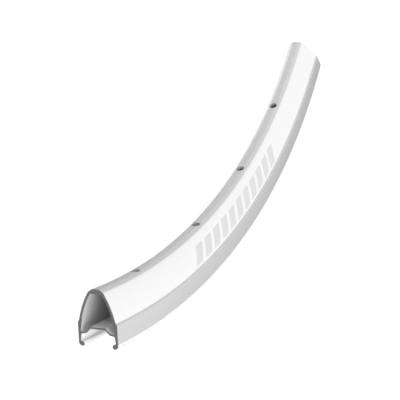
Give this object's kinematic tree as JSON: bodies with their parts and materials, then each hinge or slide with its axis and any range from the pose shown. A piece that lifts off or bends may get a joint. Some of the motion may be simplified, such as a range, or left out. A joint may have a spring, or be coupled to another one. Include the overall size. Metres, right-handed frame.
{
  "type": "bicycle rim section",
  "caption": "Cut length of a double-wall clincher bicycle rim: hollow section with bowed painted side walls, proud brake tracks, hooked flanges and spoke holes in the crown.",
  "frame": {"origin": "middle of the bounding box's base, level with the lower brake track", "axes": "+Z across the rim, from the brake track it lies on to the other; +X along the cut length, towards the end nearest the first spoke hole; +Y away from the wheel's axle"},
  "size_m": [0.2684, 0.0522, 0.0194],
  "materials": {
    "rim_alloy": "gloss white paint on the side walls, grey satin crown, machined brake tracks, bare saw-cut ends"
  },
  "bodies": {
    "root": {"rim_segment": "rim_alloy"}
  },
  "joints": []
}
